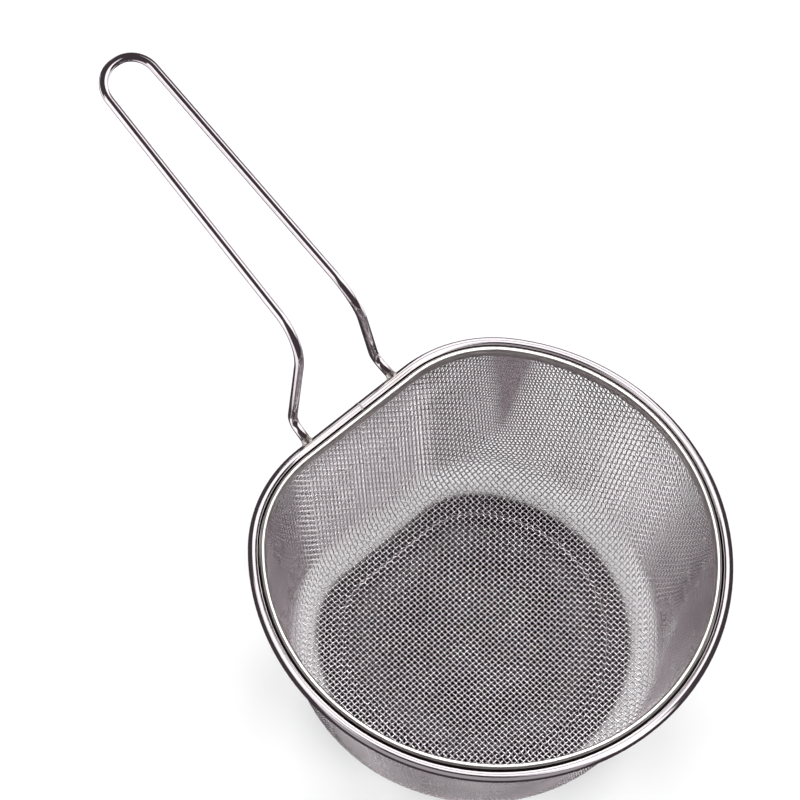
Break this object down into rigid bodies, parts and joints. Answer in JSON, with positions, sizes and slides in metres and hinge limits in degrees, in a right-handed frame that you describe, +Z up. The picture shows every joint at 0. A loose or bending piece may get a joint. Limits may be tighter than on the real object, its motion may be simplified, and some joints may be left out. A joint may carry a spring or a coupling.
{
  "type": "tea strainer",
  "caption": "D-shaped basket strainer of woven wire cloth with a folded rim band, a round wire hoop and a raised looped wire handle.",
  "frame": {"origin": "middle of the base circle, in the plane that the basket stands on", "axes": "+Z up out of the basket's mouth, the handle points to -X, and the X-Z plane is the plane of symmetry"},
  "size_m": [0.2552, 0.15, 0.131],
  "materials": {
    "woven_wire": "bright drawn stainless wire, plain weave",
    "rim_strip": "cold rolled stainless strip, bright",
    "polished_wire": "electropolished stainless wire",
    "weld_metal": "as-welded, cleaned, slightly rough"
  },
  "bodies": {
    "root": {"mesh_basket": "woven_wire", "rim_band": "rim_strip", "rim_hoop": "polished_wire", "hoop_butt_weld": "weld_metal", "handle_wire": "polished_wire", "handle_weld_left": "weld_metal", "handle_weld_right": "weld_metal", "band_tack_welds": "weld_metal"}
  },
  "joints": []
}
